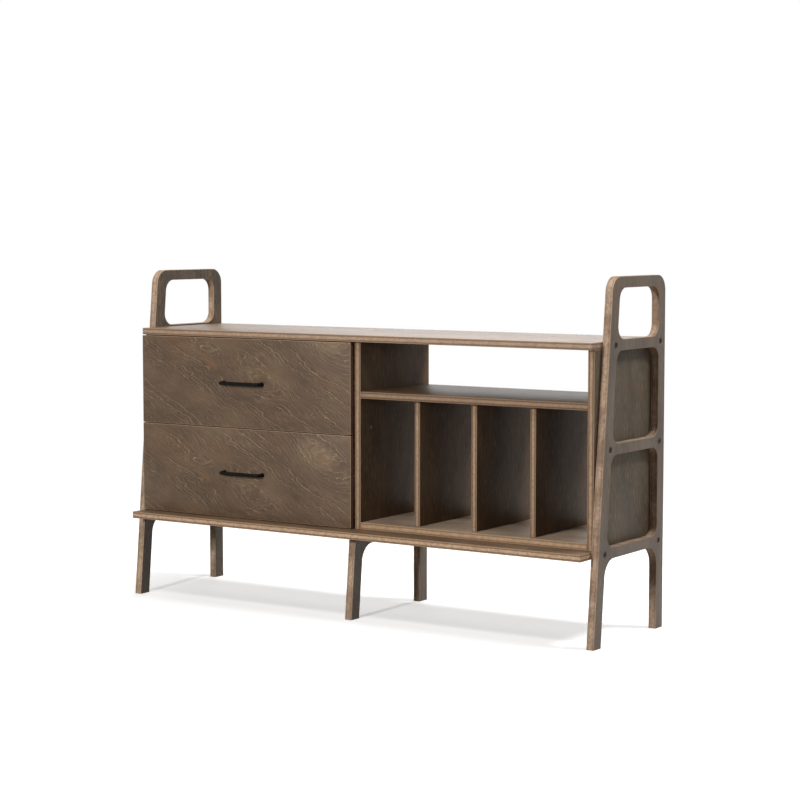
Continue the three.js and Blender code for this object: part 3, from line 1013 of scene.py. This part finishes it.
@dataclass
class SideFrame(Assembly):
    """A side frame: one thick panel with a leaning front edge, two windows, a grip hole and six bolts."""

    side: Hand = Hand.LEFT
    finish: Finish = FRAME_PLY
    figure_shift: tuple[float, float] = (0.0, 0.0)
    thickness: float = 21.0
    height: float = 900.0
    back: float = 201.0
    foot_depth: float = 370.0
    crown_depth: float = 282.0
    crown_radius: float = 40.0
    leg_width: float = 36.0
    front_stile: float = 39.0
    back_stile: float = 35.0
    rail_height: float = 27.0
    crown_bar: float = 28.0
    window_radius: float = 30.0
    grip_radius: float = 32.0
    arch_radius: float = 48.0
    rail_centres: tuple[float, float, float] = (226.5, 479.75, 733.0)
    bolt_head: float = 15.0
    bolt_head_height: float = 3.0
    bolt_recess: float = 0.5
    bolt_shank: float = 7.0
    bolt_front_inset: float = 32.0
    bolt_back_inset: float = 25.0
    bolt_clearance: float = 0.7
    # How far in from the rim and how far down each ring of the head's rounded edge lies.
    bolt_rim: tuple[tuple[float, float], ...] = ((0.9, 0.0), (0.35, 0.12), (0.08, 0.45), (0.0, 0.9))
    shank_chamfer: float = 1.0
    socket_flats: float = 5.0
    socket_depth: float = 2.0
    socket_draft: float = 0.96
    socket_chamfer: float = 0.2
    arris: float = 1.0

    def front(self, height: float) -> float:
        """Gives the depth coordinate of the leaning front edge at a height."""
        lean = (self.foot_depth - self.crown_depth) * height / self.height
        return self.back - self.foot_depth + lean

    def outline(self) -> Outline:
        """Draws the outer outline with its arch and crown.

        Returns:
            Points in millimetres as depth and height.
        """
        arch = self.rail_centres[0] - self.rail_height / 2
        inner_back = self.back - self.leg_width
        return rounded(
            [
                (self.front(0), 0, 0),
                (self.front(0) + self.leg_width, 0, 0),
                (self.front(arch) + self.leg_width, arch, self.arch_radius),
                (inner_back, arch, self.arch_radius),
                (inner_back, 0, 0),
                (self.back, 0, 0),
                (self.back, self.height, self.crown_radius),
                (self.front(self.height), self.height, self.crown_radius),
            ]
        )

    def openings(self) -> list[Outline]:
        """Draws the two windows and the grip hole.

        Returns:
            The three outlines in millimetres as depth and height.
        """
        low, middle, high = self.rail_centres
        half = self.rail_height / 2
        spans = [
            (low + half, middle - half, self.window_radius),
            (middle + half, high - half, self.window_radius),
            (high + half, self.height - self.crown_bar, self.grip_radius),
        ]
        inner_back = self.back - self.back_stile
        return [
            rounded(
                [
                    (self.front(bottom) + self.front_stile, bottom, radius),
                    (inner_back, bottom, radius),
                    (inner_back, top, radius),
                    (self.front(top) + self.front_stile, top, radius),
                ]
            )
            for bottom, top, radius in spans
        ]

    def bolts(self) -> dict[str, tuple[float, float]]:
        """Finds where the bolts go.

        Returns:
            The depth and height of each bolt in millimetres, by the name of its node.
        """
        places = {}
        for row, height in zip(("lower", "middle", "upper"), self.rail_centres):
            stem = f"frame_bolt_{self.side.value}_{row}"
            places[f"{stem}_front"] = (self.front(height) + self.bolt_front_inset, height)
            places[f"{stem}_back"] = (self.back - self.bolt_back_inset, height)
        return places

    def bolt(self, node: str, depth: float, height: float, outward: float, face: float) -> None:
        """Builds a bolt whose flat head with its hexagon socket lies just below the frame's face.

        Args:
            node: The bolt's node.
            depth: Depth coordinate in millimetres.
            height: Height in millimetres.
            outward: Which way the head looks along the length, one or minus one.
            face: The frame's outer face in millimetres.
        """
        low, high = node_box(node)
        length = high.x - low.x
        head, flats, shank = self.bolt_head / 2, self.socket_flats / 2, self.bolt_shank / 2
        rings = [
            (flats * self.socket_draft, -self.socket_depth, True),
            (flats, -self.socket_chamfer, True),
            (flats + self.socket_chamfer, 0.0, True),
        ]
        rings += [(head - inset, -drop, False) for inset, drop in self.bolt_rim]
        rings += [
            (head, -self.bolt_head_height, False),
            (shank, -self.bolt_head_height, False),
            (shank, -length + self.shank_chamfer, False),
            (shank - self.shank_chamfer, -length, False),
        ]
        origin = Vector((face - outward * self.bolt_recess, depth, height))
        self.place(node, turned(node, rings, origin, Vector((outward, 0, 0))), BOLT_STEEL)

    def build(self) -> None:
        """Builds the frame and its bolts."""
        node = f"{self.side.value}_side_frame"
        low, high = node_box(node)
        places = self.bolts()
        bore = self.bolt_head + 2 * self.bolt_clearance
        holes = [circle(depth, height, bore) for depth, height in places.values()]
        mesh = plate(node, [self.outline(), *self.openings(), *holes], low.x, self.thickness, self.arris)
        mark_grain(mesh, Axis.Z, Axis.X, self.figure_shift)
        self.place(node, mesh, self.finish)
        outward, face = (-1.0, low.x) if self.side is Hand.LEFT else (1.0, high.x)
        for bolt_node, (depth, height) in places.items():
            self.bolt(bolt_node, depth, height, outward, face)


@dataclass
class CentreLeg(Assembly):
    """The leg frame under the middle: two legs and a rail, with two screws down through the base board."""

    back: float = 196.0
    leg_width: float = 36.0
    rail_height: float = 25.0
    arch_radius: float = 48.0
    thickness: float = 21.0
    arris: float = 1.0
    figure_shift: tuple[float, float] = (4100.0, 350.0)

    def build(self) -> None:
        """Builds the leg frame, whose front leg leans as the side frames do, and dresses its screws."""
        node = "centre_leg_frame"
        low, high = node_box(node)
        side = SideFrame(self.body)
        arch = high.z - self.rail_height
        inner_back = self.back - self.leg_width
        corners = [
            (side.front(0), 0, 0),
            (side.front(0) + self.leg_width, 0, 0),
            (side.front(arch) + self.leg_width, arch, self.arch_radius),
            (inner_back, arch, self.arch_radius),
            (inner_back, 0, 0),
            (self.back, 0, 0),
            (self.back, high.z, 0),
            (side.front(high.z), high.z, 0),
        ]
        mesh = plate(node, [rounded(corners)], low.x, self.thickness, self.arris)
        mark_grain(mesh, Axis.Z, Axis.X, self.figure_shift)
        self.place(node, mesh, LEG_PLY)
        for number in (1, 2):
            self.keep(f"centre_leg_screw_{number}", ZINC_STEEL)


@dataclass
class Carcass(Assembly):
    """The fixed boards: top, base with its lip, sides, partition, record bay and the drawer bay's back."""

    # How far the figure moves from each board to the next, so that no two boards match.
    figure_step: tuple[float, float] = (613.0, 377.0)

    def build(self) -> None:
        """Builds each board with the grain along its length."""
        plan = {
            "top_board": (Axis.X, Axis.Z, TOP_PLY),
            "base_board": (Axis.X, Axis.Z, BASE_PLY),
            "left_side_panel": (Axis.Z, Axis.X, SIDE_PLY),
            "right_side_panel": (Axis.Z, Axis.X, SIDE_PLY),
            "partition": (Axis.Z, Axis.X, MATT_PLY),
            "drawer_bay_back": (Axis.X, Axis.Y, CLEAR_PLY),
            "record_bay_floor": (Axis.X, Axis.Z, FLOOR_PLY),
            "open_shelf": (Axis.X, Axis.Z, SHELF_PLY),
            "record_divider_1": (Axis.Z, Axis.X, MATT_PLY),
            "record_divider_2": (Axis.Z, Axis.X, MATT_PLY),
            "record_divider_3": (Axis.Z, Axis.X, MATT_PLY),
        }
        along, across = self.figure_step
        for index, (node, (grain, through, finish)) in enumerate(plan.items()):
            self.board(node, grain, through, finish, (along * index, across * index))
        self.keep("partition_screw_cap", CAP_PLASTIC)


@dataclass
class Drawer(Assembly):
    """A drawer: overlaid front, bent-bar handle, birch box with its bottom in grooves, and two slides."""

    level: Level = Level.UPPER
    figure_shift: tuple[float, float] = (0.0, 0.0)
    box_shift: tuple[float, float] = (900.0, 50.0)
    back_shift: tuple[float, float] = (77.0, 31.0)
    bottom_shift: tuple[float, float] = (1500.0, 640.0)
    handle_centres: float = 128.0
    handle_bar: float = 10.0
    handle_projection: float = 28.0
    handle_bend: float = 11.0
    bend_steps: int = 12
    foot_diameter: float = 12.0
    foot_height: float = 4.0
    foot_chamfer: tuple[float, float] = (1.0, 0.5)
    flare_start: float = 0.6
    flare_step: float = 2.0
    flare_steps: int = 3
    flare_inset: float = 0.9
    groove_depth: float = 6.0
    groove_clearance: float = 0.3
    box_arris: float = 0.8
    bottom_arris: float = 0.4

    def node(self, piece: str) -> str:
        """Gives the name of one of this drawer's nodes."""
        return f"{self.level.value}_{piece}"

    def handle(self) -> None:
        """Builds the round bar, bent back to the front at both ends and flared where it meets it."""
        node = self.node("drawer_handle")
        low, high = node_box(node)
        centre_x, height = (low.x + high.x) / 2, (low.z + high.z) / 2
        face = node_box(self.node("drawer_front"))[0].y
        bar = face - self.handle_projection + self.handle_bar / 2
        half, bend = self.handle_centres / 2, self.handle_bend
        thin, thick = self.handle_bar / 2, self.foot_diameter / 2
        back, inward = self.foot_chamfer
        stem = [(0.0, thick), (self.foot_height - back, thick), (self.foot_height, thick - inward)]
        for step in range(self.flare_steps + 1):
            flare = (thick - self.flare_inset - thin) * (1 - step / self.flare_steps) ** 2
            stem.append((self.foot_height + self.flare_start + step * self.flare_step, thin + flare))
        end = [(Vector((half, face - reach, height)), radius) for reach, radius in stem]
        for step in range(self.bend_steps + 1):
            angle = math.pi / 2 * step / self.bend_steps
            spot = (half - bend + bend * math.cos(angle), bar + bend - bend * math.sin(angle), height)
            end.append((Vector(spot), thin))
        left = [(Vector((-point.x, point.y, point.z)), radius) for point, radius in end]
        line = left + end[::-1]
        path = [point + Vector((centre_x, 0, 0)) for point, _ in line]
        self.place(node, swept(node, path, [radius for _, radius in line]), BLACK_STEEL)

    def grooved(self, node: str, axis: Axis, inward: float) -> None:
        """Builds a box side or sub-front with the groove that holds the bottom.

        Args:
            node: The node of the board.
            axis: The axis along which the groove runs.
            inward: Which way the groove faces, one or minus one, on the board's thin axis.
        """
        low, high = node_box(node)
        bottom_low, bottom_high = node_box(self.node("drawer_bottom"))
        near, far = bottom_low.z - self.groove_clearance, bottom_high.z + self.groove_clearance
        thin = Axis.X if axis is Axis.Y else Axis.Y
        outer, inner = low[thin.value], high[thin.value]
        if inward < 0:
            outer, inner = inner, outer
        root = inner - inward * self.groove_depth
        section = [(outer, low.z), (inner, low.z), (inner, near), (root, near), (root, far), (inner, far)]
        section += [(inner, high.z), (outer, high.z)]
        mesh = prism(node, section, axis, low[axis.value], high[axis.value], self.box_arris)
        along, across = self.box_shift
        mark_grain(mesh, axis, thin, (along + outer, across))
        self.place(node, mesh, CLEAR_PLY)

    def build(self) -> None:
        """Builds the drawer's pieces and dresses its screws and slides."""
        self.board(self.node("drawer_front"), Axis.X, Axis.Y, FRONT_VENEER, self.figure_shift)
        self.handle()
        self.grooved(self.node("drawer_box_left"), Axis.Y, 1.0)
        self.grooved(self.node("drawer_box_right"), Axis.Y, -1.0)
        self.grooved(self.node("drawer_subfront"), Axis.X, 1.0)
        back, bottom = self.node("drawer_box_back"), self.node("drawer_bottom")
        self.board(back, Axis.X, Axis.Y, CLEAR_PLY, self.back_shift, self.box_arris)
        self.board(bottom, Axis.X, Axis.Z, CLEAR_PLY, self.bottom_shift, self.bottom_arris)
        for number in (1, 2):
            self.keep(self.node(f"handle_screw_{number}"), ZINC_STEEL)
        for hand in Hand:
            for member in ("outer", "middle", "inner"):
                self.keep(self.node(f"slide_{hand.value}_{member}"), ZINC_STEEL)


@dataclass(frozen=True)
class Lamp:
    """A soft rectangular studio lamp that looks at the credenza's middle."""

    name: str
    place: Corner
    size: tuple[float, float]
    watts: float

    def build(self, aim: Vector) -> None:
        """Hangs the lamp.

        Args:
            aim: The point that it looks at, in metres.
        """
        data = bpy.data.lights.new(self.name, "AREA")
        data.shape = "RECTANGLE"
        data.size, data.size_y = self.size
        data.energy = self.watts
        lamp = add_object(self.name, data)
        lamp.location = self.place
        lamp.visible_camera = False
        lamp.rotation_euler = (aim - lamp.location).to_track_quat("-Z", "Y").to_euler()


@dataclass
class Studio:
    """A plain white studio: pale floor, white surround, soft lamps and the photo's viewpoint."""

    eye: Corner = (3.0404, -4.5330, 1.0125)
    azimuth_deg: float = 33.395
    elevation_deg: float = 4.707
    lens_mm: float = 93.03
    far_limit: float = 200.0
    aim: Corner = (0.0, 0.0, 0.45)
    floor_size: float = 80.0
    floor_colour: str = "#f2f1ef"
    floor_bounce: str = "#8c8a88"
    floor_lift: float = 0.45
    floor_fade: tuple[float, float] = (1.4, 3.6)
    white: str = "#ffffff"
    surround: float = 0.08
    lamps: tuple[Lamp, ...] = (
        Lamp("front_key", (0.05, -6.0, 2.1), (0.35, 0.7), 222.0),
        Lamp("front_top", (0.5, -1.6, 3.2), (0.4, 0.5), 28.0),
        Lamp("overhead", (0.2, 0.3, 4.4), (3.0, 1.6), 75.0),
        Lamp("right_high", (2.8, 1.1, 4.0), (1.0, 0.8), 112.0),
        Lamp("right_low", (4.8, 1.2, 0.8), (1.6, 1.0), 14.0),
        Lamp("back_sheen", (-1.6, 3.8, 3.2), (3.2, 2.0), 55.0),
    )

    def camera(self) -> None:
        """Sets the camera at the photo's viewpoint, for a square picture."""
        data = bpy.data.cameras.new("photo_camera")
        data.lens = self.lens_mm
        data.sensor_fit = "HORIZONTAL"
        data.clip_end = self.far_limit
        camera = add_object("photo_camera", data)
        turn, rise = math.radians(self.azimuth_deg), math.radians(self.elevation_deg)
        back = Vector((math.sin(turn) * math.cos(rise), -math.cos(turn) * math.cos(rise), math.sin(rise)))
        camera.location = self.eye
        camera.rotation_euler = (-back).to_track_quat("-Z", "Y").to_euler()
        bpy.context.scene.camera = camera

    def seen(self, tree: Tree) -> Socket:
        """Picks out the rays that show the studio in the picture, in gloss or through glass.

        Args:
            tree: The node tree of the floor or the surround.

        Returns:
            One for such a ray, and zero for one that only carries light.
        """
        path = add_node(tree, "ShaderNodeLightPath").outputs
        seen = path["Is Camera Ray"]
        for other in ("Is Glossy Ray", "Is Transmission Ray"):
            either = {0: seen, 1: path[other]}
            seen = add_node(tree, "ShaderNodeMath", either, operation="MAXIMUM").outputs[0]
        return seen

    def floor(self) -> None:
        """Lays the pale floor, which shows white to the camera apart from the object's soft shadow."""
        half = self.floor_size / 2
        corners = [(-half, -half, 0), (half, -half, 0), (half, half, 0), (-half, half, 0)]
        mesh = bpy.data.meshes.new("floor")
        mesh.from_pydata(corners, [], [(0, 1, 2, 3)])
        floor = add_object("floor", mesh)
        made = bpy.data.materials.new("matt_white_studio_floor")
        made.use_nodes = True
        tree = made.node_tree
        tree.nodes.clear()
        seen = self.seen(tree)
        colours = {0: seen, 6: linear(self.floor_bounce), 7: linear(self.floor_colour)}
        shown = add_node(tree, "ShaderNodeMix", colours, data_type="RGBA").outputs[2]
        matt = add_node(tree, "ShaderNodeBsdfDiffuse", {"Color": shown})
        lift = {0: seen, 1: self.floor_lift}
        lift = add_node(tree, "ShaderNodeMath", lift, operation="MULTIPLY").outputs[0]
        glow = add_node(tree, "ShaderNodeEmission", {"Strength": lift})
        near = add_node(tree, "ShaderNodeAddShader", {0: matt.outputs[0], 1: glow.outputs[0]})
        far = add_node(tree, "ShaderNodeEmission", {"Strength": seen})
        place = add_node(tree, "ShaderNodeNewGeometry").outputs["Position"]
        reach = add_node(tree, "ShaderNodeVectorMath", {0: place}, operation="LENGTH").outputs[1]
        start, end = self.floor_fade
        fade = {"Value": reach, "From Min": start, "From Max": end}
        share = add_node(tree, "ShaderNodeMapRange", fade, interpolation_type="SMOOTHSTEP").outputs[0]
        both = add_node(tree, "ShaderNodeMixShader", {0: share, 1: near.outputs[0], 2: far.outputs[0]})
        add_node(tree, "ShaderNodeOutputMaterial", {"Surface": both.outputs[0]})
        mesh.materials.append(made)

    def surroundings(self) -> None:
        """Sets the white surround, which the camera, gloss and glass see at full white."""
        world = bpy.data.worlds.new("white_studio")
        world.use_nodes = True
        tree = world.node_tree
        tree.nodes.clear()
        seen = self.seen(tree)
        colour = linear(self.white)
        full = add_node(tree, "ShaderNodeBackground", {"Color": colour, "Strength": 1.0})
        soft = add_node(tree, "ShaderNodeBackground", {"Color": colour, "Strength": self.surround})
        mixed = add_node(tree, "ShaderNodeMixShader", {0: seen, 1: soft.outputs[0], 2: full.outputs[0]})
        add_node(tree, "ShaderNodeOutputWorld", {"Surface": mixed.outputs[0]})
        bpy.context.scene.world = world

    def build(self) -> None:
        """Sets up the camera, the floor, the surround and the lamps."""
        self.camera()
        self.floor()
        self.surroundings()
        for lamp in self.lamps:
            lamp.build(Vector(self.aim))
        bpy.context.scene.view_settings.view_transform = "Standard"


def main() -> None:
    """Builds the credenza's sub-assemblies in order, then the studio."""
    logging.basicConfig(level=logging.INFO, format="%(message)s")
    parts = [
        SideFrame("cabinet", Hand.LEFT, PAINTED_SHADE_FRAME_PLY, (300.0, 170.0)),
        SideFrame("cabinet", Hand.RIGHT, FRAME_PLY, (2300.0, 910.0)),
        CentreLeg("cabinet"),
        Carcass("cabinet"),
        Drawer("upper_drawer", Level.UPPER, (702.0, -482.0)),
        Drawer("lower_drawer", Level.LOWER, (729.0, -175.0)),
    ]
    for part in parts:
        part.build()
    Studio().build()


if __name__ == "__main__":
    main()
